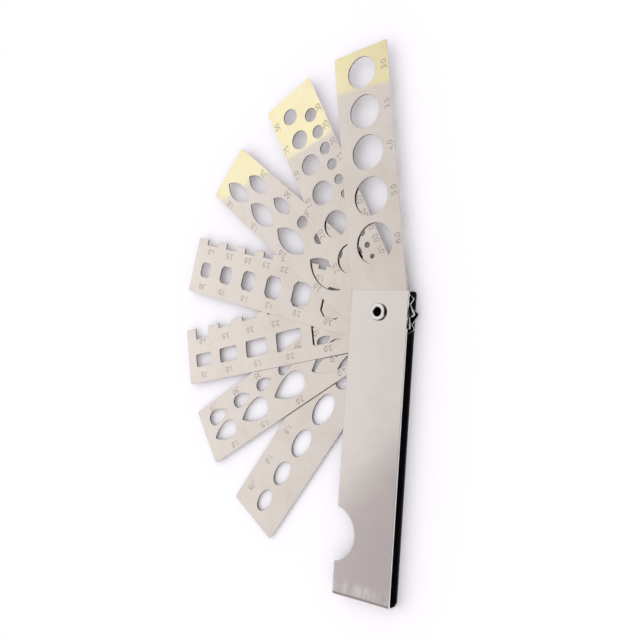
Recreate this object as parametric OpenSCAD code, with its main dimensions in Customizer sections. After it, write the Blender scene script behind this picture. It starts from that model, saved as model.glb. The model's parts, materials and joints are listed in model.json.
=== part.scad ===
// Gem fan gauge: seven hole-gauge leaves that fold into a bent sheet case
// and turn on one hollow eyelet. All sizes in mm.
// Frame: Z runs up the eyelet's axis from the case's rear face (z = 0),
// -Y points from the eyelet to the case's bent end, X runs across the case.
// Each leaf is drawn along +X from the eyelet, then turned to its place in the fan.

/* [Fan pose, degrees that each leaf is open from shut] */
// Large round leaf, nearest the front
open_large_round = 170.5; // [0:0.5:180]
// Small round leaf
open_small_round = 149.5; // [0:0.5:180]
// Marquise leaf
open_marquise = 125.5; // [0:0.5:180]
// Emerald leaf
open_emerald = 101; // [0:0.5:180]
// Baguette leaf
open_baguette = 77.5; // [0:0.5:180]
// Pear leaf
open_pear = 57; // [0:0.5:180]
// Oval leaf, nearest the rear
open_oval = 34; // [0:0.5:180]

/* [Leaves] */
// From the eyelet's axis to the tip
leaf_length = 77.6; // [74:0.2:90]
// Width of every leaf
leaf_width = 18.3; // [17.8:0.1:24]
// From the eyelet's axis to the tail end
leaf_tail = 6; // [4.5:0.1:9]
// Sheet thickness of a leaf
leaf_thick = 0.4; // [0.3:0.05:0.8]
// Radius on the leaf's four corners
leaf_corner = 0.5; // [0.2:0.1:2]
// Air between neighbouring leaves, and between leaf and cheek
leaf_gap = 0.04; // [0.02:0.01:0.1]

/* [Case] */
// Sheet thickness of the case
case_sheet = 0.65; // [0.5:0.05:1]
// How far the case stands out past a shut leaf on each side
case_side_lap = 0.1; // [0:0.05:1]
// How far the case stands out past the leaf tails
case_top_lap = 0.1; // [0:0.05:1]
// Air between the bends and the corner of the outermost leaf that swings past them
case_tip_clear = 0.1; // [0.05:0.05:1]
// Inside radius of the two bends
case_bend = 0.8; // [0.3:0.05:1.2]
// Radius on the cheeks' free corners
case_corner = 0.75; // [0.3:0.05:2]

/* [Thumb notch] */
// Radius of the round notch in both cheeks
notch_radius = 7.7; // [5:0.1:9]
// From the eyelet's axis down to the notch centre
notch_down = 62.3; // [50:0.1:64]
// How far the notch centre lies outside the cheek's edge
notch_out = 1.55; // [0.5:0.05:3]

/* [Eyelet] */
// Bore through the eyelet
eyelet_bore = 2.5; // [2:0.1:3.5]
// Wall of the eyelet's barrel
eyelet_wall = 0.4; // [0.25:0.05:0.6]
// How far the rolled front rim reaches past the barrel
eyelet_rim = 0.8; // [0.4:0.05:1.2]
// Height of the rolled rim over the front cheek, about two walls of the barrel
eyelet_rim_rise = 0.8; // [0.5:0.05:1]
// Round of the rolled rim's two upper edges
eyelet_rim_round = 0.3; // [0.15:0.05:0.45]
// How far the rear end is flared into its countersink
eyelet_flare = 0.4; // [0.2:0.05:0.45]
// Radial air between the barrel and what turns on it
eyelet_clear = 0.05; // [0.02:0.01:0.1]

/* [Gauge holes] */
// Nothing is cut nearer the eyelet's axis than this
pivot_keep = 11; // [9:0.5:14]
// Round stone of one carat, diameter
round_ct = 6.5; // [6:0.05:6.8]
// Marquise stone of one carat, length
marquise_ct = 10.7; // [9.5:0.1:11]
// Marquise length over width
marquise_ratio = 2.1; // [1.9:0.05:2.4]
// Emerald stone of one carat, length
emerald_ct = 6.1; // [5.5:0.05:6.6]
// Emerald length over width
emerald_ratio = 1.15; // [1.05:0.05:1.4]
// Share of an emerald's width that each cut corner takes
emerald_cut = 0.2; // [0.1:0.01:0.3]
// Baguette length over width
baguette_ratio = 1.63; // [1.5:0.01:2]
// Corner radius of a baguette hole
baguette_corner = 0.6; // [0.2:0.05:0.8]
// Pear stone of one carat in the right row, length
pear_ct = 9; // [8.2:0.1:9.4]
// Pear length over width
pear_ratio = 1.75; // [1.7:0.01:1.9]
// Oval stone of one carat, length
oval_ct = 8.4; // [7.6:0.1:8.8]
// Oval length over width
oval_ratio = 1.7; // [1.4:0.05:1.9]

/* [Rows on the round leaves] */
// Carats on the large round leaf, from the tip inwards
large_round_row = [3, 3.5, 4, 5, 6];
// From the tip to the first large hole
large_round_start = 2.4; // [1.5:0.1:4]
// Metal between the large holes
large_round_web = 2.25; // [1.5:0.05:3]
// Carats in the left row of the small round leaf
small_left_row = [0.5, 0.75, 1, 1.5, 2, 2.5];
// From the tip to that row
small_left_start = 4.2; // [2:0.1:6]
// Metal between that row's holes
small_left_web = 3.35; // [1.5:0.05:4]
// Sideways place of that row
small_left_side = 2.2; // [1.8:0.05:3]
// Carats in the right row of the small round leaf
small_right_row = [0.3, 0.25, 0.2, 0.15, 0.1, 0.07, 0.05, 0.04, 0.03, 0.02, 0.01];
// From the tip to that row
small_right_start = 9; // [2:0.1:12]
// Metal between that row's holes
small_right_web = 2.25; // [1.5:0.05:3]
// Sideways place of that row
small_right_side = -4.55; // [-6:0.05:-4.5]

/* [Rows on the marquise leaf] */
// Carats in the left row
marquise_left_row = [1, 1.5, 2];
// From the tip to that row
marquise_left_start = 3.05; // [1.5:0.05:4]
// Metal between that row's points
marquise_left_web = 2.2; // [1.5:0.05:2.8]
// Sideways place of that row
marquise_left_side = 2.85; // [2.6:0.05:3.4]
// Carats of the large hole that stands apart behind that row
marquise_inner = 3; // [2.5:0.1:4]
// From the tip to the large hole
marquise_inner_start = 47.2; // [46.8:0.1:48]
// Carats of the marquise holes in the right row
marquise_right_row = [0.75, 0.5];
// From the tip to the right row
marquise_right_start = 9.2; // [4:0.1:10]
// Metal between the right row's holes
marquise_right_web = 3.85; // [1.5:0.05:4.5]
// Sideways place of the right row
marquise_right_side = -3.65; // [-4.5:0.05:-3.6]
// Diameters of the round holes that follow them
marquise_round_row = [3.9, 3.8, 3.7];
// From the tip to the first round hole
marquise_round_start = 35.35; // [34:0.05:36]
// Metal between the round holes
marquise_round_web = 4.7; // [3:0.05:5.5]
// Sideways place of the round holes
marquise_round_side = -4.1; // [-5.5:0.05:-3.9]

/* [Rows on the emerald leaf] */
// Carats of the holes
emerald_row = [0.5, 0.75, 1, 1.5, 2, 3];
// From the tip to the first hole
emerald_start = 3.9; // [2:0.1:6]
// Metal between the holes
emerald_web = 5.05; // [2:0.05:5.5]
// Sideways place of the row
emerald_side = 1.05; // [0:0.05:2]
// Depths of the slots along the right edge, from the tip inwards
emerald_slot_depths = [1.95, 1.95, 1.95, 1.7, 1.5, 1.25, 1.25];
// Width of the slot next to the tip
emerald_slot_width = 4.9; // [4:0.1:6]
// How much narrower each next slot is
emerald_slot_step = 0.35; // [0.2:0.05:0.4]
// From the tip to the first slot
emerald_slot_start = 4.35; // [2:0.05:6]
// Metal between the slots
emerald_slot_web = 3.95; // [2:0.05:4.5]

/* [Rows on the baguette leaf] */
// Lengths of the holes, from the tip inwards
baguette_row = [6.7, 7.4, 8.5, 9.7, 10.7];
// From the tip to the first hole
baguette_start = 3.5; // [2:0.1:6]
// Metal between the holes
baguette_web = 4.1; // [2:0.05:4.5]
// Sideways place of the row
baguette_side = 1.75; // [1.4:0.05:3]
// Depths of the slots along the right edge, from the tip inwards
baguette_slot_depths = [3.75, 1.75, 1.5, 1.5, 1.5];
// Width of those slots
baguette_slot_width = 5.75; // [4:0.05:7]
// From the tip to the first slot
baguette_slot_start = 4.2; // [2:0.1:6]
// Metal between the slots
baguette_slot_web = 4.8; // [2:0.1:6]

/* [Rows on the pear leaf] */
// Lengths of the holes in the left row, points towards the tip
pear_left_row = [9.8, 11.6, 12.9, 15];
// From the tip to that row
pear_left_start = 3.5; // [2:0.1:6]
// Metal between that row's holes
pear_left_web = 3.3; // [2.5:0.05:3.9]
// Sideways place of that row
pear_left_side = 2.05; // [2:0.05:3.4]
// Carats in the right row, points towards the eyelet
pear_right_row = [0.75, 0.5, 0.35, 0.25];
// From the tip to that row
pear_right_start = 3.9; // [2:0.1:6]
// Metal between that row's holes
pear_right_web = 3.65; // [3.4:0.05:3.8]
// Sideways place of that row
pear_right_side = -3.8; // [-4.5:0.05:-3.6]
// Lengths of the small holes that end the right row
pear_small_row = [5.3, 5];
// From the tip to the small holes
pear_small_start = 45.2; // [44:0.1:46.5]
// Metal between the small holes
pear_small_web = 2.8; // [2:0.05:3.5]

/* [Row on the oval leaf] */
// Carats of the holes
oval_row = [0.75, 1, 1.5, 2, 3];
// From the tip to the first hole
oval_start = 3.6; // [2:0.1:6]
// Metal between the holes
oval_web = 2.85; // [1.5:0.05:3.5]
// Sideways place of the row
oval_side = 0.35; // [-2:0.05:2]

/* [Hidden] */
$fn = 96;
cut_over = 1;
oval_steps = 72;
leaf_count = 7;
leaf_pitch = leaf_thick + leaf_gap;
case_width = leaf_width + 2 * case_side_lap;
case_height = 2 * case_sheet + leaf_count * leaf_pitch + leaf_gap;
case_top = leaf_tail + case_top_lap;
tip_swing = sqrt(leaf_length * leaf_length + leaf_width * leaf_width / 4);
bend_lead = case_bend - sqrt(case_bend * case_bend - pow(case_bend - leaf_gap, 2));
case_end_in = tip_swing + case_tip_clear + bend_lead;
case_end = case_end_in + case_sheet;
barrel_r = eyelet_bore / 2 + eyelet_wall;
barrel_hole_r = barrel_r + eyelet_clear;
flare_r = barrel_r + eyelet_flare;
rim_r = barrel_r + eyelet_rim;
rim_wide = rim_r - eyelet_bore / 2;
rim_round = min(eyelet_rim_round, 0.45 * rim_wide);

// Edge length of a one carat stone scaled to another weight
function stone(one, ct) = one * pow(ct, 1 / 3);
// Total of the first n entries
function total(v, n) = n == 0 ? 0 : v[n - 1] + total(v, n - 1);
// Distance from the eyelet's axis to the middle of entry i of a row that starts at the tip
function along(lengths, i, start, web) =
    leaf_length - start - total(lengths, i) - i * web - lengths[i] / 2;

// Rectangle with true round corners, from its lower left corner
module round_rect(w, h, r) {
    translate([r, 0]) square([w - 2 * r, h]);
    translate([0, r]) square([w, h - 2 * r]);
    for (x = [r, w - r], y = [r, h - r]) {
        translate([x, y]) circle(r);
    }
}

// Two arcs that meet in a point at each end
module marquise_shape(len) {
    half = len / 2;
    side = half / marquise_ratio;
    arc = (half * half + side * side) / (2 * side);
    intersection() {
        translate([0, side - arc]) circle(arc);
        translate([0, arc - side]) circle(arc);
    }
}

// Long way across the leaf, corners cut
module emerald_shape(len) {
    a = len / emerald_ratio / 2;
    b = len / 2;
    c = emerald_cut * 2 * a;
    polygon([[a, c - b], [a, b - c], [a - c, b], [c - a, b],
        [-a, b - c], [-a, c - b], [c - a, -b], [a - c, -b]]);
}

// Long way along the leaf
module baguette_shape(len) {
    wide = len / baguette_ratio;
    translate([-len / 2, -wide / 2]) round_rect(len, wide, baguette_corner);
}

// Half round end, and two arcs that run from it to a point at +X
module pear_shape(len) {
    r = len / pear_ratio / 2;
    reach = len - r;
    arc = (reach * reach + r * r) / (2 * r);
    translate([r - len / 2, 0]) {
        circle(r);
        intersection() {
            translate([0, r - arc]) circle(arc);
            translate([0, arc - r]) circle(arc);
            translate([0, -r - cut_over]) square([len, 2 * (r + cut_over)]);
        }
    }
}

// Long way along the leaf
module oval_shape(len) {
    a = len / 2;
    b = a / oval_ratio;
    polygon([for (k = [0 : oval_steps - 1]) [a * cos(360 * k / oval_steps), b * sin(360 * k / oval_steps)]]);
}

// Places its child at u along the leaf and side across it, unless it would come too near the eyelet
module gauge_at(u, side, len) {
    if (u - len / 2 >= pivot_keep) {
        translate([u, side]) children();
    }
}

module round_row(row, start, web, side) {
    d = [for (ct = row) stone(round_ct, ct)];
    for (i = [0 : len(row) - 1]) {
        gauge_at(along(d, i, start, web), side, d[i]) circle(d = d[i]);
    }
}

// Slots that are open at the leaf's right edge
module edge_slots(widths, depths, start, web) {
    for (i = [0 : len(widths) - 1]) {
        gauge_at(along(widths, i, start, web), -leaf_width / 2, widths[i])
            translate([-widths[i] / 2, -cut_over]) square([widths[i], depths[i] + cut_over]);
    }
}

// One leaf in its place: slot counts from the front, children are what is cut out of it
module leaf(slot, open) {
    translate([0, 0, case_sheet + leaf_gap + (leaf_count - 1 - slot) * leaf_pitch])
    rotate([0, 0, 270 - open])
    linear_extrude(leaf_thick)
    difference() {
        translate([-leaf_tail, -leaf_width / 2])
            round_rect(leaf_tail + leaf_length, leaf_width, leaf_corner);
        circle(barrel_hole_r);
        children();
    }
}

module leaf_large_round() {
    color([0.80, 0.78, 0.75])
    leaf(0, open_large_round) {
        round_row(large_round_row, large_round_start, large_round_web, 0);
    }
}

module leaf_small_round() {
    color([0.80, 0.78, 0.75])
    leaf(1, open_small_round) {
        round_row(small_left_row, small_left_start, small_left_web, small_left_side);
        round_row(small_right_row, small_right_start, small_right_web, small_right_side);
    }
}

module marquise_row(row, start, web, side) {
    long = [for (ct = row) stone(marquise_ct, ct)];
    for (i = [0 : len(row) - 1]) {
        gauge_at(along(long, i, start, web), side, long[i]) marquise_shape(long[i]);
    }
}

module leaf_marquise() {
    d = marquise_round_row;
    color([0.80, 0.78, 0.75])
    leaf(2, open_marquise) {
        marquise_row(marquise_left_row, marquise_left_start, marquise_left_web, marquise_left_side);
        marquise_row([marquise_inner], marquise_inner_start, 0, marquise_left_side);
        marquise_row(marquise_right_row, marquise_right_start, marquise_right_web, marquise_right_side);
        for (i = [0 : len(d) - 1]) {
            gauge_at(along(d, i, marquise_round_start, marquise_round_web), marquise_round_side, d[i]) circle(d = d[i]);
        }
    }
}

module leaf_emerald() {
    long = [for (ct = emerald_row) stone(emerald_ct, ct)];
    pitch = [for (l = long) l / emerald_ratio];
    widths = [for (i = [0 : len(emerald_slot_depths) - 1]) emerald_slot_width - i * emerald_slot_step];
    color([0.80, 0.78, 0.75])
    leaf(3, open_emerald) {
        for (i = [0 : len(long) - 1]) {
            gauge_at(along(pitch, i, emerald_start, emerald_web), emerald_side, pitch[i])
                emerald_shape(long[i]);
        }
        edge_slots(widths, emerald_slot_depths, emerald_slot_start, emerald_slot_web);
    }
}

module leaf_baguette() {
    long = baguette_row;
    widths = [for (d = baguette_slot_depths) baguette_slot_width];
    color([0.80, 0.78, 0.75])
    leaf(4, open_baguette) {
        for (i = [0 : len(long) - 1]) {
            gauge_at(along(long, i, baguette_start, baguette_web), baguette_side, long[i])
                baguette_shape(long[i]);
        }
        edge_slots(widths, baguette_slot_depths, baguette_slot_start, baguette_slot_web);
    }
}

module leaf_pear() {
    left = pear_left_row;
    right = [for (ct = pear_right_row) stone(pear_ct, ct)];
    color([0.80, 0.78, 0.75])
    leaf(5, open_pear) {
        for (i = [0 : len(left) - 1]) {
            gauge_at(along(left, i, pear_left_start, pear_left_web), pear_left_side, left[i])
                pear_shape(left[i]);
        }
        for (i = [0 : len(right) - 1]) {
            gauge_at(along(right, i, pear_right_start, pear_right_web), pear_right_side, right[i])
                rotate([0, 0, 180]) pear_shape(right[i]);
        }
        for (i = [0 : len(pear_small_row) - 1]) {
            gauge_at(along(pear_small_row, i, pear_small_start, pear_small_web), pear_right_side, pear_small_row[i])
                rotate([0, 0, 180]) pear_shape(pear_small_row[i]);
        }
    }
}

module leaf_oval() {
    long = [for (ct = oval_row) stone(oval_ct, ct)];
    color([0.80, 0.78, 0.75])
    leaf(6, open_oval) {
        for (i = [0 : len(long) - 1]) {
            gauge_at(along(long, i, oval_start, oval_web), oval_side, long[i])
                oval_shape(long[i]);
        }
    }
}

// Side view of the bent strip: both cheeks and the end that joins them
module strip_profile() {
    outer = case_bend + case_sheet;
    inside = case_height - 2 * case_sheet;
    difference() {
        union() {
            translate([-case_end, 0]) round_rect(case_end, case_height, outer);
            translate([-outer, 0]) square([outer + case_top, case_height]);
        }
        translate([-case_end_in, case_sheet]) round_rect(case_end_in, inside, case_bend);
        translate([-case_bend, case_sheet]) square([case_bend + case_top + cut_over, inside]);
    }
}

// Front view of the cheeks, with the free corners rounded
module cheek_plan() {
    translate([-case_width / 2, -case_end - cut_over])
        square([case_width, case_end + cut_over + case_top - case_corner]);
    translate([case_corner - case_width / 2, -case_end - cut_over])
        square([case_width - 2 * case_corner, case_end + cut_over + case_top]);
    for (s = [-1, 1]) {
        translate([s * (case_width / 2 - case_corner), case_top - case_corner]) circle(case_corner);
    }
}

module case() {
    color([0.76, 0.76, 0.77])
    difference() {
        intersection() {
            translate([-case_width / 2 - cut_over, 0, 0])
            rotate([90, 0, 90])
            linear_extrude(case_width + 2 * cut_over) strip_profile();
            translate([0, 0, -cut_over]) linear_extrude(case_height + 2 * cut_over) cheek_plan();
        }
        translate([0, 0, -cut_over]) cylinder(r = barrel_hole_r, h = case_height + 2 * cut_over);
        translate([0, 0, -cut_over]) cylinder(r = flare_r + eyelet_clear, h = cut_over + case_sheet / 2);
        translate([-case_width / 2 - notch_out, -notch_down, -cut_over])
            cylinder(r = notch_radius, h = case_height + 2 * cut_over);
    }
}

module pivot_eyelet() {
    color([0.82, 0.82, 0.83])
    rotate_extrude() {
        translate([eyelet_bore / 2, 0]) square([eyelet_wall, case_height]);
        translate([eyelet_bore / 2, 0]) square([flare_r - eyelet_bore / 2, case_sheet / 2]);
        translate([eyelet_bore / 2, case_height]) {
            square([rim_wide, eyelet_rim_rise - rim_round]);
            translate([rim_round, 0]) square([rim_wide - 2 * rim_round, eyelet_rim_rise]);
            for (x = [rim_round, rim_wide - rim_round]) {
                translate([x, eyelet_rim_rise - rim_round]) circle(rim_round);
            }
        }
    }
}

case();
leaf_large_round();
leaf_small_round();
leaf_marquise();
leaf_emerald();
leaf_baguette();
leaf_pear();
leaf_oval();
pivot_eyelet();
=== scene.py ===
"""Dresses the gem fan gauge: steel sheet with tumbled edges, etched numbers, and a photo table."""
import json
import math
from collections import namedtuple

import bmesh
import bpy
from bpy.props import (
    FloatProperty,
    FloatVectorProperty,
    IntProperty,
    PointerProperty,
)
from mathutils import Matrix, Vector


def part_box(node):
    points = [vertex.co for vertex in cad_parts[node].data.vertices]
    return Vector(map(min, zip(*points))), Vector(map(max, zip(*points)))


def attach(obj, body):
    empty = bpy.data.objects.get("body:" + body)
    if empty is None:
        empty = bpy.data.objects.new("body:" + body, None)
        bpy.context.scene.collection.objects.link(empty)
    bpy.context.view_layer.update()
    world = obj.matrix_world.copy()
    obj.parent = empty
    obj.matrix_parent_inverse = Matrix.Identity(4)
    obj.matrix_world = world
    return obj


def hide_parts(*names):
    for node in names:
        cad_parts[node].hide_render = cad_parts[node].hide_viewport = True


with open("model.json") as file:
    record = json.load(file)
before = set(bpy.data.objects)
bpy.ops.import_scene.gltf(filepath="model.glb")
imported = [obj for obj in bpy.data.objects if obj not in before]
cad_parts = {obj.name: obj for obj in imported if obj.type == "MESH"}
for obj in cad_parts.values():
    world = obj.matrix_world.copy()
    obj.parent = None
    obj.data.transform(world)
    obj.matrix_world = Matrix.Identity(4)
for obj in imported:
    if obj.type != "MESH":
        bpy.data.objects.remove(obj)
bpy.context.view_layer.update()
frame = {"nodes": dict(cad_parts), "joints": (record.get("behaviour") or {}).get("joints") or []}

bl_info = {
    "name": "Gem Fan Gauge",
    "version": (1, 0, 0),
    "blender": (4, 5, 0),
    "location": "3D View > Sidebar > Gauge",
    "description": "Finishes the sheet, numbers and table of a folding gem gauge",
    "category": "Object",
}

MM = 0.001
# Direction of a shut leaf, in degrees from +X
SHUT_DEG = 270.0

# A row of holes or slots as the leaf carries it, counted from the tip inwards, in mm: sizes
# along the leaf and their numbers, tip to first hole, metal between holes, how far across the
# leaf the numbers stand, and how far outwards from the middle of their holes.
Row = namedtuple("Row", "sizes numbers start web number_at outwards", defaults=(0.0,))


def carat_row(one, carats, start, web, number_at, outwards=0.0):
    """Row of holes for one shape of stone, where a one carat stone is so long."""
    sizes = [one * carat ** (1 / 3) for carat in carats]
    return Row(sizes, [carat_text(carat) for carat in carats], start, web, number_at, outwards)


def carat_text(carat):
    """A weight as it is etched: two places under one carat, and no nought before the point."""
    if carat < 1:
        return f"{carat:.2f}"[1:]
    text = f"{carat:.2f}".rstrip("0")
    return text + "0" if text.endswith(".") else text


LEAF_LENGTH = 77.6
LEAF_TAIL = 6.0
LEAF_HALF = 9.15
LEAF_CORNER = 0.5
# Painted shade darkens a leaf's tail, standing in for the shade under the case's front cheek: full and gone
# at these places along the leaf, in mm
SHADED_TAIL = (1.0, 4.0)
# The tail's painted shade spares a rim of plain leaf colour along the outline, standing in for a bright
# edge line: the rim is full and gone at these distances from it, in mm
UNSHADED_RIM = (0.16, 0.34)
ROUND_CT = 6.5
MARQUISE_CT = 10.7
EMERALD_CT = 6.1 / 1.15
PEAR_CT = 9.0
OVAL_CT = 8.4
SMALL_CARATS = (0.3, 0.25, 0.2, 0.15, 0.1, 0.07, 0.05, 0.04, 0.03, 0.02, 0.01)

# The case's bends, and its sheet with a little to spare on either side
BEND_OUTER = 1.45 * MM
SHEET_OVER = 0.66 * MM
SHEET_UNDER = 0.6 * MM
# A lighter, rougher streaky band above the bend comes in and goes out at these places along the case, in mm
LIGHT_BAND_IN = (-78.4, -77.6)
LIGHT_BAND_OUT = (-76.2, -73.5)
# Radii on the eyelet between which the bore's painted shade ends and the painted shade at the rim's foot
# starts, in mm
BORE_END = (1.26, 1.34)
RIM_FOOT = (2.36, 2.43)

# Edges of the solids: what counts as one point, as one flat, as an edge to round and as a crease
ONE_POINT = 1e-6
ONE_FLAT = math.radians(0.4)
ROUNDED_OVER = math.radians(35)
CREASE_OVER = math.radians(40)

# Leaves from the front of the stack to the rear
ROWS = {
    "leaf_large_round": (
        carat_row(ROUND_CT, (3, 3.5, 4, 5, 6), 2.4, 2.25, -7.55),
    ),
    "leaf_small_round": (
        carat_row(ROUND_CT, (0.5, 0.75, 1, 1.5, 2, 2.5), 4.2, 3.35, 7.85),
        carat_row(ROUND_CT, SMALL_CARATS, 9.0, 2.25, -7.85),
    ),
    "leaf_marquise": (
        carat_row(MARQUISE_CT, (1, 1.5, 2), 3.05, 2.2, 7.75),
        carat_row(MARQUISE_CT, (3,), 47.2, 0.0, 7.75),
        carat_row(MARQUISE_CT, (0.75, 0.5), 9.2, 3.85, -7.4),
        Row((3.9, 3.8, 3.7), (".25", ".20", ".15"), 35.35, 4.7, -7.4),
    ),
    "leaf_emerald": (
        carat_row(EMERALD_CT, (0.5, 0.75, 1, 1.5, 2, 3), 3.9, 5.05, 6.75),
        Row(
            (4.9, 4.55, 4.2, 3.85, 3.5, 3.15, 2.8),
            ("4.0", "3.5", "3.0", "2.5", "2.0", "1.5", "1.0"), 4.35, 3.95, -5.2),
    ),
    "leaf_baguette": (
        Row((6.7, 7.4, 8.5, 9.7, 10.7), (".75", "1.0", "1.5", "2.0", "3.0"), 3.5, 4.1, 6.7),
        Row((5.75,) * 5, ("4.0", "3.5", "3.0", "2.5", "2.0"), 4.2, 4.8, -4.3),
    ),
    "leaf_pear": (
        Row((9.8, 11.6, 12.9, 15.0), ("1.0", "1.5", "2.0", "4.0"), 3.5, 3.3, 7.4, -2.0),
        carat_row(PEAR_CT, (0.75, 0.5, 0.35, 0.25), 3.9, 3.65, -7.2, 0.85),
        Row((5.3, 5.0), (".20", ".10"), 45.2, 2.8, -7.2, 0.85),
    ),
    "leaf_oval": (
        carat_row(OVAL_CT, (0.75, 1, 1.5, 2, 3), 3.6, 2.85, -6.2),
    ),
}


def leaf_angle(body):
    """Direction of a leaf at rest, in degrees from +X, from how far its joint is open."""
    for joint in frame["joints"]:
        if joint["child"] == body:
            return SHUT_DEG + joint["range_deg"][0]
    raise ValueError(f"no joint carries {body}")


class GaugeSheetSettings(bpy.types.PropertyGroup):
    """Steel of the leaves, the case and the eyelet."""

    leaf_color: FloatVectorProperty(
        name="Leaf steel", description="Reflected colour of the satin leaves",
        subtype="COLOR", size=3, min=0, max=1, default=(0.80, 0.745, 0.70))
    leaf_stain: FloatVectorProperty(
        name="Leaf stain", description="Warm tarnish that clouds the leaves",
        subtype="COLOR", size=3, min=0, max=1, default=(0.73, 0.655, 0.60))
    leaf_roughness: FloatProperty(
        name="Leaf roughness", description="Softness of the leaves' reflections",
        min=0, max=1, default=0.035)
    case_color: FloatVectorProperty(
        name="Case steel", description="Reflected colour of the polished case",
        subtype="COLOR", size=3, min=0, max=1, default=(0.84, 0.785, 0.75))
    case_roughness: FloatProperty(
        name="Case roughness", description="Softness of the case's reflections",
        min=0, max=1, default=0.1)
    # Painted shade: near-black sheet between the cheeks and on the rear cheek's cut edge
    inside_shade_color: FloatVectorProperty(
        name="Case inside shade", description="Painted shade between the cheeks and on the rear cheek's cut edge",
        subtype="COLOR", size=3, min=0, max=1, default=(0.06, 0.056, 0.056))
    punched_color: FloatVectorProperty(
        name="Punched wall", description="Walls of the punched holes and slots",
        subtype="COLOR", size=3, min=0, max=1, default=(0.10, 0.09, 0.088))
    outline_color: FloatVectorProperty(
        name="Outline wall", description="Sheared outline of the leaves, rubbed smooth",
        subtype="COLOR", size=3, min=0, max=1, default=(0.85, 0.83, 0.82))
    # Painted highlight: a brighter copy of the case steel on the front cheek's cut edge
    edge_highlight_color: FloatVectorProperty(
        name="Edge highlight", description="Painted highlight on the front cheek's cut edge, a brighter copy of the case steel",
        subtype="COLOR", size=3, min=0, max=1, default=(0.95, 0.94, 0.94))
    eyelet_color: FloatVectorProperty(
        name="Eyelet", description="Reflected colour of the rolled eyelet",
        subtype="COLOR", size=3, min=0, max=1, default=(0.92, 0.90, 0.88))
    leaf_edge: FloatProperty(
        name="Leaf edge", description="Tumbled round on the leaves' edges",
        subtype="DISTANCE", unit="LENGTH", min=0, max=0.19 * MM, default=0.08 * MM)
    case_edge: FloatProperty(
        name="Case edge", description="Round on the case's cut edges",
        subtype="DISTANCE", unit="LENGTH", min=0, max=0.3 * MM, default=0.12 * MM)
    edge_steps: IntProperty(
        name="Edge steps", description="Faces across a rounded edge", min=1, max=6, default=3)


class GaugeNumberSettings(bpy.types.PropertyGroup):
    """Etched carat numbers."""

    height: FloatProperty(
        name="Height", description="Height of a digit",
        subtype="DISTANCE", unit="LENGTH", min=0.5 * MM, max=3 * MM, default=1.6 * MM)
    stroke: FloatProperty(
        name="Stroke", description="Width of an etched line",
        subtype="DISTANCE", unit="LENGTH", min=0.05 * MM, max=0.5 * MM, default=0.24 * MM)
    proud: FloatProperty(
        name="Proud", description="How far the oxide stands over the sheet",
        subtype="DISTANCE", unit="LENGTH", min=0.002 * MM, max=0.03 * MM, default=0.008 * MM)
    color: FloatVectorProperty(
        name="Etch", description="Colour of the etched oxide",
        subtype="COLOR", size=3, min=0, max=1, default=(0.417, 0.359, 0.324))


class GaugeStageSettings(bpy.types.PropertyGroup):
    """Table, lamp and camera."""

    floor_color: FloatVectorProperty(
        name="Table", description="Colour of the table as it is seen and mirrored",
        subtype="COLOR", size=3, min=0, max=1, default=(1.0, 0.993, 1.0))
    bounce_color: FloatVectorProperty(
        name="Table bounce", description="Colour of the table for the light that it throws back",
        subtype="COLOR", size=3, min=0, max=1, default=(0.75, 0.745, 0.75))
    fill: FloatProperty(
        name="Fill", description="Strength of the even room light", min=0, max=2, default=1.05)
    fill_color: FloatVectorProperty(
        name="Fill colour", description="Colour of the even room light",
        subtype="COLOR", size=3, min=0, max=1, default=(0.97, 0.95, 1.0))
    lamp_power: FloatProperty(
        name="Lamp", description="Power of the large soft lamp",
        subtype="POWER", unit="POWER", min=0, max=50, default=0.45)
    lamp_size: FloatProperty(
        name="Lamp size", description="Side of the square soft lamp",
        subtype="DISTANCE", unit="LENGTH", min=0.05, max=2, default=0.8)
    lamp_place: FloatVectorProperty(
        name="Lamp place", description="Where the soft lamp hangs",
        subtype="TRANSLATION", unit="LENGTH", size=3, default=(0.75, -0.52, 0.91))
    lamp_color: FloatVectorProperty(
        name="Lamp colour", description="Colour of the soft lamp",
        subtype="COLOR", size=3, min=0, max=1, default=(1.0, 0.98, 0.93))
    eye: FloatVectorProperty(
        name="Eye", description="Where the camera stands",
        subtype="TRANSLATION", unit="LENGTH", size=3, default=(0.11760, -0.01345, 0.18666))
    azimuth: FloatProperty(
        name="Azimuth", description="Direction from the table to the camera, from +X",
        subtype="ANGLE", default=math.radians(-4.425))
    elevation: FloatProperty(
        name="Elevation", description="Height of the camera's line of sight over the table",
        subtype="ANGLE", default=math.radians(52.865))
    roll: FloatProperty(
        name="Roll", description="Turn of the camera about its line of sight, from +Y up",
        subtype="ANGLE", default=math.radians(3.966))
    lens: FloatProperty(
        name="Lens", description="Focal length on a 36 mm wide square sensor",
        min=10, max=200, default=44.124)


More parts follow.
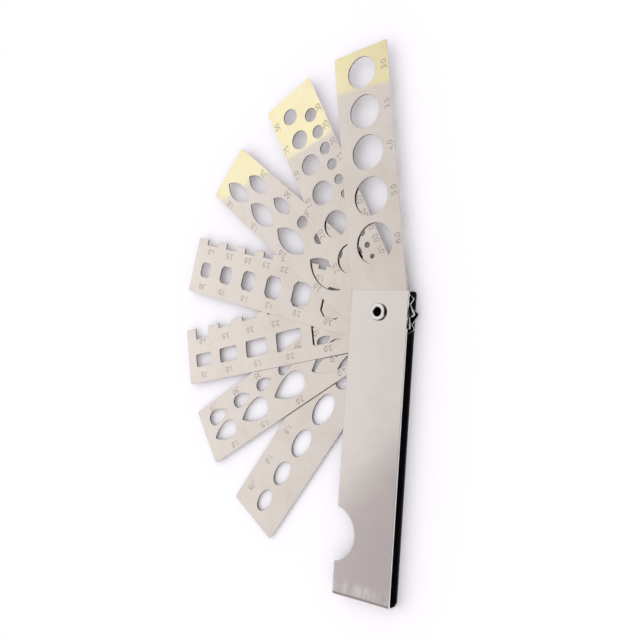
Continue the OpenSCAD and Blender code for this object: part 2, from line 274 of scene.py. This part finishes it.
class Wire:
    """A shader socket. Arithmetic on it adds Math nodes, and node() adds any other node."""

    def __init__(self, tree, socket=None):
        self.tree = tree
        self.socket = socket

    def node(self, kind, settings=None, sockets=None, out=0):
        """Adds a node, sets it up, feeds its sockets and returns one of its outputs."""
        made = self.tree.nodes.new(kind)
        for key, value in (settings or {}).items():
            setattr(made, key, value)
        for key, value in (sockets or {}).items():
            target = made.inputs[key]
            if isinstance(value, Wire):
                self.tree.links.new(value.socket, target)
            elif isinstance(value, tuple) and len(value) == 3 and target.type == "RGBA":
                target.default_value = (*value, 1.0)
            else:
                target.default_value = value
        return self.of(made, out) if made.outputs else made

    def of(self, made, out):
        """One output of a node."""
        return Wire(self.tree, made.outputs[out])

    def math(self, operation, first, second=0.0):
        return self.node("ShaderNodeMath", {"operation": operation}, {0: first, 1: second})

    def __add__(self, other):
        return self.math("ADD", self, other)

    __radd__ = __add__

    def __sub__(self, other):
        return self.math("SUBTRACT", self, other)

    def __rsub__(self, other):
        return self.math("SUBTRACT", other, self)

    def __mul__(self, other):
        return self.math("MULTIPLY", self, other)

    __rmul__ = __mul__

    def __truediv__(self, other):
        return self.math("DIVIDE", self, other)

    def __rtruediv__(self, other):
        return self.math("DIVIDE", other, self)

    def step(self, low, high):
        """0 below low, 1 above high, smooth between."""
        return self.node(
            "ShaderNodeMapRange", {"interpolation_type": "SMOOTHSTEP"},
            {"Value": self, "From Min": low, "From Max": high})


# Mix nodes have several sockets of the same name, so the colour ones go by place
MIX_FACTOR, MIX_A, MIX_B, MIX_RESULT = 0, 6, 7, 2


def scaled(color, factor):
    """A colour made lighter or darker, and not over white."""
    return tuple(min(1.0, c * factor) for c in color)


def mix_color(factor, below, above):
    """Colour below where factor is 0, and above where it is 1."""
    return factor.node(
        "ShaderNodeMix", {"data_type": "RGBA"},
        {MIX_FACTOR: factor, MIX_A: below, MIX_B: above}, MIX_RESULT)


def new_material(name):
    """An empty node material, and a wire to build it from."""
    material = bpy.data.materials.new(name)
    material.use_nodes = True
    material.node_tree.nodes.clear()
    return material, Wire(material.node_tree)


def finish_material(start, sockets):
    """Closes a material with a Principled shader."""
    shader = start.node("ShaderNodeBsdfPrincipled", None, sockets)
    start.node("ShaderNodeOutputMaterial", None, {"Surface": shader})


def place_in_mm(start, turn_deg=0.0, stretch=(1.0, 1.0, 1.0)):
    """Place on the piece in mm, turned so that X runs along the leaf, then stretched."""
    here = start.node("ShaderNodeTexCoord", None, None, "Object")
    turned = start.node(
        "ShaderNodeVectorRotate", {"rotation_type": "Z_AXIS"},
        {"Vector": here, "Angle": math.radians(-turn_deg)})
    return start.node(
        "ShaderNodeVectorMath", {"operation": "MULTIPLY"},
        {0: turned, 1: tuple(s / MM for s in stretch)})


def noise(start, place, scale, detail=2.0, rough=0.5):
    """Noise from 0 to 1 at so many cells per mm."""
    return start.node(
        "ShaderNodeTexNoise", None,
        {"Vector": place, "Scale": scale, "Detail": detail, "Roughness": rough}, "Fac")


def bumped(start, height, distance, strength):
    """Normal from a height in mm."""
    return start.node(
        "ShaderNodeBump", None,
        {"Height": height, "Distance": distance * MM, "Strength": strength}, "Normal")


def satin_sheet(name, turn_deg, color, stain, roughness):
    """Rolled and tumbled leaf sheet: tarnish, roll lines, scratches, pits, and painted shade on the tail.
    """
    material, start = new_material(name)
    flat = place_in_mm(start, turn_deg)
    along = place_in_mm(start, turn_deg, (0.12, 6.0, 1.0))
    slant = place_in_mm(start, turn_deg + 31.0, (0.2, 7.0, 1.0))
    cross = place_in_mm(start, turn_deg - 57.0, (0.25, 8.0, 1.0))
    cloud = noise(start, flat, 0.085, 4.0, 0.55).step(0.38, 0.72)
    drift = noise(start, flat, 0.4, 3.0).step(0.45, 0.75)
    lines = noise(start, along, 1.0, 3.0)
    fine = noise(start, slant, 0.9, 1.0).step(0.69, 0.73)
    scratch = fine + noise(start, cross, 0.8, 1.0).step(0.70, 0.74)
    pits = start.node(
        "ShaderNodeTexVoronoi", {"feature": "F1"},
        {"Vector": flat, "Scale": 0.55, "Randomness": 1.0}, "Distance")
    pit = 1.0 - pits.step(0.035, 0.075)
    tone = mix_color(cloud * 0.6 + drift * 0.2, color, stain)
    worn = mix_color(scratch * 0.22, tone, scaled(color, 1.12))
    spotted = mix_color(pit * 0.35, worn, scaled(stain, 0.45))
    u = start.node("ShaderNodeSeparateXYZ", None, {0: flat}, "X")
    v = start.node("ShaderNodeSeparateXYZ", None, {0: flat}, "Y")
    inset = start.math("MINIMUM", u + LEAF_TAIL, LEAF_HALF - start.math("ABSOLUTE", v))
    # Painted shade: the tail's faces darken nearly to black, except for a rim along the outline
    tail_shade = (1.0 - (u + drift * 1.5).step(*SHADED_TAIL)) * inset.step(*UNSHADED_RIM)
    finish_material(start, {
        "Base Color": mix_color(tail_shade * 0.97, spotted, (0.02, 0.018, 0.016)),
        "Metallic": 1.0,
        "Roughness": lines * 0.02 + cloud * 0.03 + scratch * 0.05 + tail_shade * 0.2 + (roughness - 0.015),
        "Normal": bumped(start, lines * 0.3 + scratch * 0.3 - pit, 0.003, 0.1),
    })
    return material


def polished_sheet(name, color, roughness):
    """Case cheeks: bright sheet with hairlines along the case, rubs, haze, and a lighter streaky band by
    the bend.
    """
    material, start = new_material(name)
    flat = place_in_mm(start)
    hair = place_in_mm(start, 90.0, (0.05, 9.0, 1.0))
    swirl = place_in_mm(start, 64.0, (0.2, 6.0, 1.0))
    lines = noise(start, hair, 1.0, 4.0)
    rub = noise(start, swirl, 0.7, 1.0).step(0.68, 0.73)
    haze = noise(start, flat, 0.07, 4.0, 0.6).step(0.4, 0.7)
    end = start.node("ShaderNodeSeparateXYZ", None, {0: flat}, "Y")
    streaks = place_in_mm(start, 0.0, (0.9, 0.25, 1.0))
    patch = noise(start, streaks, 1.0, 3.0).step(0.36, 0.66)
    light_band = end.step(*LIGHT_BAND_IN) * (1.0 - end.step(*LIGHT_BAND_OUT)) * patch
    tone = mix_color(haze * 0.45, color, scaled(color, 0.93))
    bright = mix_color(rub * 0.2 + light_band * 0.7, tone, scaled(color, 1.3))
    finish_material(start, {
        "Base Color": bright,
        "Metallic": 1.0,
        "Roughness": lines * 0.05 + haze * 0.07 + rub * 0.06 + light_band * 0.15 + (roughness - 0.05),
        "Normal": bumped(start, lines * 0.4 + rub * 0.4, 0.003, 0.2),
    })
    return material


def dull_sheet(name, color, roughness):
    """Rough sheet in a given colour, with drag lines through its thickness. It makes the case's painted
    shade inside and painted highlight on the front cut edge, and the leaves' cut walls.
    """
    material, start = new_material(name)
    flat = place_in_mm(start)
    drag = place_in_mm(start, 0.0, (9.0, 9.0, 1.2))
    lines = noise(start, drag, 1.0, 2.0)
    cloud = noise(start, flat, 0.25, 3.0).step(0.35, 0.7)
    tone = mix_color(cloud * 0.5 + lines * 0.3, color, scaled(color, 0.7))
    finish_material(start, {
        "Base Color": tone,
        "Metallic": 1.0,
        "Roughness": lines * 0.15 + cloud * 0.1 + (roughness - 0.1),
        "Normal": bumped(start, lines, 0.01, 0.35),
    })
    return material


def rolled_rim(name, color):
    """Eyelet: bright, with fine turning rings, a little grime, and painted shade in the bore and at the
    rim's foot.
    """
    material, start = new_material(name)
    place = place_in_mm(start)
    reach = start.node(
        "ShaderNodeVectorMath", {"operation": "MULTIPLY"}, {0: place, 1: (1.0, 1.0, 0.0)})
    radius = start.node("ShaderNodeVectorMath", {"operation": "LENGTH"}, {0: reach}, "Value")
    rings = start.node(
        "ShaderNodeTexNoise", {"noise_dimensions": "1D"},
        {"W": radius, "Scale": 14.0, "Detail": 2.0}, "Fac")
    grime = noise(start, place, 1.1, 3.0).step(0.45, 0.75)
    tone = mix_color(grime * 0.3, color, scaled(color, 0.7))
    # Painted shade: the bore and the rim's foot darken nearly to black
    bore = 1.0 - radius.step(*BORE_END)
    foot = radius.step(*RIM_FOOT) * 0.93
    finish_material(start, {
        "Base Color": mix_color(start.math("MAXIMUM", bore, foot), tone, (0.03, 0.028, 0.027)),
        "Metallic": 1.0,
        "Roughness": rings * 0.08 + grime * 0.1 + bore * 0.4 + 0.1,
        "Normal": bumped(start, rings, 0.004, 0.3),
    })
    return material


def etched_oxide(name, color):
    """Etched numbers: thin matt oxide, worn patchy."""
    material, start = new_material(name)
    place = place_in_mm(start)
    worn = noise(start, place, 1.3, 3.0).step(0.35, 0.7)
    grain = noise(start, place, 9.0, 2.0)
    tone = mix_color(worn * 0.7 + grain * 0.2, color, scaled(color, 1.55))
    finish_material(start, {
        "Base Color": tone,
        "Metallic": 0.6,
        "Roughness": grain * 0.2 + 0.45,
        "Normal": bumped(start, grain, 0.006, 0.3),
    })
    return material


def turns_over(edge, angle):
    """Whether two faces meet at an edge with more than an angle between them."""
    return len(edge.link_faces) == 2 and edge.calc_face_angle() > angle


def rounded_copy(node, name, edge, steps):
    """Copy of a CAD solid with its sharp edges rounded, as tumbled sheet has them."""
    mesh = bpy.data.meshes.new(name)
    shape = bmesh.new()
    shape.from_mesh(frame["nodes"][node].data)
    bmesh.ops.remove_doubles(shape, verts=shape.verts, dist=ONE_POINT)
    bmesh.ops.dissolve_limit(
        shape, angle_limit=ONE_FLAT, verts=shape.verts, edges=shape.edges,
        use_dissolve_boundaries=False)
    sharp = [each for each in shape.edges if turns_over(each, ROUNDED_OVER)]
    bmesh.ops.bevel(
        shape, geom=sharp, offset=edge, offset_type="OFFSET", segments=steps, profile=0.5,
        affect="EDGES", clamp_overlap=True)
    for face in shape.faces:
        face.smooth = True
        face.material_index = 0
    for each in shape.edges:
        each.smooth = not turns_over(each, CREASE_OVER)
    shape.normal_update()
    shape.to_mesh(mesh)
    shape.free()
    piece = bpy.data.objects.new(name, mesh)
    bpy.context.scene.collection.objects.link(piece)
    weigh = piece.modifiers.new("flat faces lead", "WEIGHTED_NORMAL")
    weigh.mode = "FACE_AREA"
    weigh.weight = 100
    weigh.keep_sharp = True
    return piece


def cut_across(piece, y):
    """Cuts a piece's faces along a plane across Y, so that the parts can differ in finish."""
    shape = bmesh.new()
    shape.from_mesh(piece.data)
    bmesh.ops.bisect_plane(
        shape, geom=[*shape.verts, *shape.edges, *shape.faces], dist=1e-7,
        plane_co=(0, y, 0), plane_no=(0, 1, 0))
    shape.to_mesh(piece.data)
    shape.free()


def set_faces(piece, picks):
    """Gives the faces that a test picks another of the piece's materials."""
    for face in piece.data.polygons:
        for index, test in picks.items():
            if test(face):
                face.material_index = index


class GAUGE_OT_case(bpy.types.Operator):
    """Polishes the bent strip outside, paints shade between the cheeks and on the rear cheek's cut edge,
    and paints a highlight on the front cheek's cut edge
    """

    bl_idname = "gauge.case"
    bl_label = "Case"

    def execute(self, context):
        sheet = context.scene.gauge_sheet
        low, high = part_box("case")
        piece = rounded_copy("case", "case_strip", sheet.case_edge, sheet.edge_steps)
        # The second material is painted shade, near black; the third is a painted highlight, a brighter
        # copy of the case steel
        for finish in (
                polished_sheet("polished case sheet", tuple(sheet.case_color), sheet.case_roughness),
                dull_sheet("dull case inside", tuple(sheet.inside_shade_color), 0.45),
                dull_sheet("burnished case edge", tuple(sheet.edge_highlight_color), 0.2)):
            piece.data.materials.append(finish)
        cut_across(piece, low.y + BEND_OUTER)

        # Painted shade: the faces between the cheeks, and the rear cheek's cut edge
        def inside(face):
            place = face.center
            sideways = abs(face.normal.x)
            if place.z < low.z + SHEET_OVER and sideways > 0.3:
                return True
            between = low.z + SHEET_UNDER < place.z < high.z - SHEET_UNDER
            return between and place.y > low.y + SHEET_UNDER and sideways < 0.3

        # Painted highlight: the front cheek's cut edge
        def front_edge(face):
            return face.center.z > high.z - SHEET_OVER - 0.01 * MM and abs(face.normal.x) > 0.5

        set_faces(piece, {1: inside, 2: front_edge})
        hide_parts("case")
        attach(piece, "case")
        return {"FINISHED"}


class GAUGE_OT_leaves(bpy.types.Operator):
    """Gives each leaf its tumbled edges, satin faces and sheared walls"""

    bl_idname = "gauge.leaves"
    bl_label = "Leaves"

    def execute(self, context):
        sheet = context.scene.gauge_sheet
        punched = dull_sheet("punched leaf wall", tuple(sheet.punched_color), 0.38)
        rubbed = dull_sheet("rubbed leaf outline", tuple(sheet.outline_color), 0.16)
        for body in ROWS:
            cut = body.removeprefix("leaf_")
            piece = rounded_copy(body, f"{cut}_blade", sheet.leaf_edge, sheet.edge_steps)
            satin = satin_sheet(
                f"satin sheet {cut}", leaf_angle(body),
                tuple(sheet.leaf_color), tuple(sheet.leaf_stain), sheet.leaf_roughness)
            for finish in (satin, punched, rubbed):
                piece.data.materials.append(finish)
            turn = Matrix.Rotation(math.radians(-leaf_angle(body)), 3, "Z")

            def wall(face):
                return abs(face.normal.z) < 0.35

            def outline(face):
                u, v, _ = turn @ face.center / MM
                along = LEAF_CORNER - LEAF_TAIL < u < LEAF_LENGTH - LEAF_CORNER
                return wall(face) and not (along and abs(v) < LEAF_HALF - 0.1)

            set_faces(piece, {1: wall, 2: outline})
            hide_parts(body)
            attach(piece, body)
        return {"FINISHED"}


class GAUGE_OT_eyelet(bpy.types.Operator):
    """Finishes the hollow eyelet"""

    bl_idname = "gauge.eyelet"
    bl_label = "Eyelet"

    def execute(self, context):
        color = tuple(context.scene.gauge_sheet.eyelet_color)
        node = frame["nodes"]["pivot_eyelet"]
        node.material_slots[0].material = rolled_rim("rolled eyelet", color)
        return {"FINISHED"}


def arc(x, y, rx, ry, start, end, steps=14):
    """Points along part of an oval, from one angle in degrees to another."""
    turn = [math.radians(start + (end - start) * k / steps) for k in range(steps + 1)]
    return [(x + rx * math.cos(t), y + ry * math.sin(t)) for t in turn]


# Strokes of each digit in a box 4 wide and 6 high, as a pantograph would cut them
DIGITS = {
    "0": [arc(2, 3, 1.75, 3, 90, 450)],
    "1": [[(0.9, 4.7), (2.2, 6), (2.2, 0)]],
    "2": [arc(2, 4.3, 1.7, 1.7, 165, -35) + [(0.3, 0), (3.8, 0)]],
    "3": [arc(1.9, 4.5, 1.5, 1.5, 150, -80), arc(1.9, 1.55, 1.8, 1.55, 80, -150)],
    "4": [[(2.9, 0), (2.9, 6), (0.1, 1.7), (3.9, 1.7)]],
    "5": [[(3.5, 6), (0.8, 6), (0.5, 3.3)] + arc(1.9, 1.95, 1.85, 1.95, 130, -145)],
    "6": [arc(2, 1.9, 1.75, 1.9, 180, 540), arc(3.3, 1.9, 3.05, 4.1, 180, 95)],
    "7": [[(0.3, 6), (3.7, 6), (1.5, 0)]],
    "8": [arc(2, 4.5, 1.4, 1.5, 270, 630), arc(2, 1.55, 1.75, 1.55, 90, 450)],
    "9": [arc(2, 4.1, 1.75, 1.9, 0, 360), arc(0.7, 4.1, 3.05, 4.1, 0, -85)],
    ".": [arc(0.5, 0.25, 0.22, 0.22, 0, 360, 6)],
}
DIGIT_WIDTH = 4
DIGIT_HEIGHT = 6
DIGIT_STEP = 5.0
POINT_STEP = 2.0


def step_after(mark):
    """From the start of a digit or a point to the next, in digit units."""
    return POINT_STEP if mark == "." else DIGIT_STEP


def number_width(text):
    """Width of a number in digit units."""
    return sum(step_after(mark) for mark in text) - (DIGIT_STEP - DIGIT_WIDTH)


def write_number(line, text, middle, across, unit):
    """Adds a number's strokes to a curve, centred at a place along and across the leaf."""
    pen = middle - number_width(text) * unit / 2
    foot = across - DIGIT_HEIGHT / 2 * unit
    for mark in text:
        for stroke in DIGITS[mark]:
            spline = line.splines.new("POLY")
            spline.points.add(len(stroke) - 1)
            for point, (x, y) in zip(spline.points, stroke):
                point.co = (pen + x * unit, foot + y * unit, 0, 1)
        pen += step_after(mark) * unit


def row_places(row):
    """Number and distance from the eyelet's axis, in mm, of each hole of a row."""
    run = row.start
    for size, text in zip(row.sizes, row.numbers):
        yield text, LEAF_LENGTH - run - size / 2 + row.outwards
        run += size + row.web


class GAUGE_OT_numbers(bpy.types.Operator):
    """Etches the weight beside each gauge hole"""

    bl_idname = "gauge.numbers"
    bl_label = "Numbers"

    def execute(self, context):
        settings = context.scene.gauge_numbers
        oxide = etched_oxide("etched oxide", tuple(settings.color))
        unit = settings.height / DIGIT_HEIGHT
        for body, rows in ROWS.items():
            line = bpy.data.curves.new("strokes", "CURVE")
            line.dimensions = "3D"
            line.bevel_depth = settings.stroke / 2
            line.bevel_resolution = 1
            line.use_fill_caps = True
            for row in rows:
                for text, u in row_places(row):
                    write_number(line, text, u * MM, row.number_at * MM, unit)
            maker = bpy.data.objects.new("strokes", line)
            context.scene.collection.objects.link(maker)
            context.view_layer.update()
            name = body.removeprefix("leaf_") + "_numbers"
            solid = maker.evaluated_get(context.evaluated_depsgraph_get())
            mesh = bpy.data.meshes.new_from_object(solid)
            bpy.data.objects.remove(maker)
            mesh.name = name
            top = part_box(body)[1].z
            flat = Matrix.Diagonal((1, 1, settings.proud / (settings.stroke / 2), 1))
            turn = Matrix.Rotation(math.radians(leaf_angle(body)), 4, "Z")
            mesh.transform(Matrix.Translation((0, 0, top)) @ turn @ flat)
            mesh.materials.clear()
            mesh.materials.append(oxide)
            piece = bpy.data.objects.new(name, mesh)
            context.scene.collection.objects.link(piece)
            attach(piece, body)
        return {"FINISHED"}


# The room that flat sheet mirrors, by x and y of a direction over its z. The ceiling gets lighter
# to the left. The warm wall starts at a slanted line with a break in it, given by a point and a
# slope on either side, and the dim doorway starts at another slanted line.
HORIZON = 0.12
CEILING_SLOPE, CEILING_MIDDLE = -0.45, 0.525
CEILING_LEAST, CEILING_MOST = 0.72, 1.02
WALL_LEFT = (-0.88, 0.3145, 0.41)
WALL_RIGHT = (-0.7561, 0.4237, 0.075)
WALL_BREAK = -0.758
WALL_SOFT, BREAK_SOFT, DOORWAY_SOFT = 0.003, 0.002, 0.04
DOORWAY_X, DOORWAY_Y, DOORWAY_SLOPE = -0.659, -0.19, 1.08
LOW_GREY = (0.16, 0.15, 0.14)
WALL_SHADE, WALL_SUN = (1.0, 0.95, 0.63), (1.2, 1.17, 0.82)
DOORWAY_LEFT, DOORWAY_RIGHT = (0.60, 0.57, 0.59), (0.52, 0.49, 0.51)
SILL = (0.34, 0.325, 0.33)
NEAR_BLACK = (0.03, 0.028, 0.028)
# Round patches of the room: direction, cosines where a patch starts and is full, and colour
SCREEN = ((0.853, -0.066, 0.518), (0.74, 0.86), (0.16, 0.15, 0.15))
STAND = ((0.602, -0.046, 0.797), (0.84, 0.93), (0.04, 0.037, 0.037))
WINDOW = ((0.475, -0.724, 0.497), (0.8, 0.9), (0.95, 0.935, 0.89))

TABLE_HALF = 2.0
TABLE_BELOW = 0.02 * MM
LAMP_AIM = Vector((-0.02, 0, 0))


def ray_kinds(start):
    """Whether a ray comes from the camera, off a mirror or through glass."""
    path = start.node("ShaderNodeLightPath").socket.node
    return [start.of(path, kind) for kind in ("Is Camera Ray", "Is Glossy Ray", "Is Transmission Ray")]


def mirrored_room(start):
    """Colour of the room in each direction, as the sheet mirrors it."""
    way = start.node("ShaderNodeTexCoord", None, None, "Generated")
    parts = start.node("ShaderNodeSeparateXYZ", None, {0: way}).socket.node
    x, y, z = (start.of(parts, k) for k in range(3))
    up = start.math("MAXIMUM", z, HORIZON)
    gx, gy = x / up, y / up
    left_x, front_y = gx * -1.0, gy * -1.0

    lift = start.math("MAXIMUM", gx * CEILING_SLOPE + CEILING_MIDDLE, CEILING_LEAST)
    lift = start.math("MINIMUM", lift, CEILING_MOST)
    ceiling = start.node("ShaderNodeCombineColor", None, {0: lift, 1: lift * 0.985, 2: lift * 0.97})
    seen = mix_color(z.step(0.22, 0.62), LOW_GREY, ceiling)

    left, right = (
        (gy - (gx - px) * slope - py).step(-WALL_SOFT, WALL_SOFT)
        for px, py, slope in (WALL_LEFT, WALL_RIGHT))
    past = gx.step(WALL_BREAK - BREAK_SOFT, WALL_BREAK + BREAK_SOFT)
    wall = left * (1.0 - past) + right * past
    ends = gx.step(-1.2, -1.1) * (1.0 - gx.step(-0.6, -0.5)) * (1.0 - gy.step(0.6, 0.7))
    seen = mix_color(wall * ends, seen, mix_color(left_x.step(0.71, 0.8), WALL_SHADE, WALL_SUN))

    far = gx * gx + gy * gy
    line = DOORWAY_Y + (gx - DOORWAY_X) * DOORWAY_SLOPE - gy
    doorway = line.step(-DOORWAY_SOFT, DOORWAY_SOFT) * (1.0 - far.step(0.9, 1.8))
    seen = mix_color(doorway, seen, mix_color(gx.step(-0.72, -0.6), DOORWAY_LEFT, DOORWAY_RIGHT))

    sill = front_y.step(0.42, 0.75) * left_x.step(0.2, 0.5)
    front = front_y.step(0.35, 0.6) * (1.0 - left_x.step(0.3, 0.5)) * (1.0 - gx.step(0.1, 0.4))
    seen = mix_color(front, mix_color(sill, seen, SILL), NEAR_BLACK)
    for (to_x, to_y, to_z), edge, color in (SCREEN, STAND, WINDOW):
        seen = mix_color((x * to_x + y * to_y + z * to_z).step(*edge), seen, color)
    return seen


class GAUGE_OT_stage(bpy.types.Operator):
    """Sets the gauge on a pale table in an even room, and places the camera"""

    bl_idname = "gauge.stage"
    bl_label = "Table, lamp and camera"

    def execute(self, context):
        stage = context.scene.gauge_stage
        scene = context.scene
        scene.view_settings.view_transform = "Standard"
        self.add_table(scene, stage)
        self.add_room(scene, stage)
        self.add_lamp(scene, stage)
        self.add_camera(scene, stage)
        return {"FINISHED"}

    def add_table(self, scene, stage):
        mesh = bpy.data.meshes.new("table")
        corners = [
            (x * TABLE_HALF, y * TABLE_HALF, -TABLE_BELOW)
            for x, y in ((-1, -1), (1, -1), (1, 1), (-1, 1))]
        mesh.from_pydata(corners, [], [(0, 1, 2, 3)])
        table = bpy.data.objects.new("table", mesh)
        scene.collection.objects.link(table)
        material, start = new_material("pale table")
        bounces = start.node("ShaderNodeLightPath", None, None, "Diffuse Depth")
        seen = start.math("LESS_THAN", bounces, 0.5)
        finish_material(start, {
            "Base Color": mix_color(seen, tuple(stage.bounce_color), tuple(stage.floor_color)),
            "Roughness": 0.9,
            "Specular IOR Level": 0.1,
        })
        mesh.materials.append(material)

    def add_room(self, scene, stage):
        world = bpy.data.worlds.new("even room")
        world.use_nodes = True
        world.node_tree.nodes.clear()
        scene.world = world
        start = Wire(world.node_tree)
        camera, mirror, clear = ray_kinds(start)
        even, room, white = (
            start.node("ShaderNodeBackground", None, {"Color": color, "Strength": strength})
            for color, strength in (
                (tuple(stage.fill_color), stage.fill), (mirrored_room(start), 1.0), ((1.0, 1.0, 1.0), 1.0)))
        lit = start.node("ShaderNodeMixShader", None, {0: mirror, 1: even, 2: room})
        plain = start.math("MAXIMUM", camera, clear)
        shown = start.node("ShaderNodeMixShader", None, {0: plain, 1: lit, 2: white})
        start.node("ShaderNodeOutputWorld", None, {"Surface": shown})

    def add_lamp(self, scene, stage):
        light = bpy.data.lights.new("soft lamp", "AREA")
        light.shape = "SQUARE"
        light.size = stage.lamp_size
        light.energy = stage.lamp_power
        light.color = stage.lamp_color
        lamp = bpy.data.objects.new("soft lamp", light)
        lamp.location = stage.lamp_place
        lamp.rotation_mode = "QUATERNION"
        lamp.rotation_quaternion = (LAMP_AIM - lamp.location).to_track_quat("-Z", "Y")
        lamp.visible_glossy = False
        scene.collection.objects.link(lamp)

    def add_camera(self, scene, stage):
        a, e, r = stage.azimuth, stage.elevation, stage.roll
        back = Vector((math.cos(e) * math.cos(a), math.cos(e) * math.sin(a), math.sin(e)))
        right = Vector((0, 1, 0)).cross(back).normalized()
        top = back.cross(right)
        across = right * math.cos(r) + top * math.sin(r)
        upward = top * math.cos(r) - right * math.sin(r)
        data = bpy.data.cameras.new("camera")
        data.sensor_width = 36.0
        data.lens = stage.lens
        data.clip_start = 0.005
        camera = bpy.data.objects.new("camera", data)
        turn = Matrix((across, upward, back)).transposed().to_4x4()
        camera.matrix_world = Matrix.Translation(stage.eye) @ turn
        scene.collection.objects.link(camera)
        scene.camera = camera


class GAUGE_PT_panel(bpy.types.Panel):
    """Lists the gauge's pieces and the table"""

    bl_idname = "GAUGE_PT_panel"
    bl_label = "Gem Fan Gauge"
    bl_space_type = "VIEW_3D"
    bl_region_type = "UI"
    bl_category = "Gauge"

    def draw(self, context):
        for name in ("gauge_sheet", "gauge_numbers", "gauge_stage"):
            group = getattr(context.scene, name)
            box = self.layout.box()
            for prop in group.bl_rna.properties:
                if not prop.is_readonly and prop.identifier != "name":
                    box.prop(group, prop.identifier)
        for operator in OPERATORS:
            self.layout.operator(operator.bl_idname)


OPERATORS = (GAUGE_OT_case, GAUGE_OT_leaves, GAUGE_OT_eyelet, GAUGE_OT_numbers, GAUGE_OT_stage)
CLASSES = (GaugeSheetSettings, GaugeNumberSettings, GaugeStageSettings, *OPERATORS, GAUGE_PT_panel)


def register():
    for each in CLASSES:
        bpy.utils.register_class(each)
    bpy.types.Scene.gauge_sheet = PointerProperty(type=GaugeSheetSettings)
    bpy.types.Scene.gauge_numbers = PointerProperty(type=GaugeNumberSettings)
    bpy.types.Scene.gauge_stage = PointerProperty(type=GaugeStageSettings)


def unregister():
    del bpy.types.Scene.gauge_stage
    del bpy.types.Scene.gauge_numbers
    del bpy.types.Scene.gauge_sheet
    for each in reversed(CLASSES):
        bpy.utils.unregister_class(each)


def main():
    register()
    bpy.ops.gauge.case()
    bpy.ops.gauge.leaves()
    bpy.ops.gauge.eyelet()
    bpy.ops.gauge.numbers()
    bpy.ops.gauge.stage()
    bpy.context.view_layer.update()


if __name__ == "__main__":
    main()
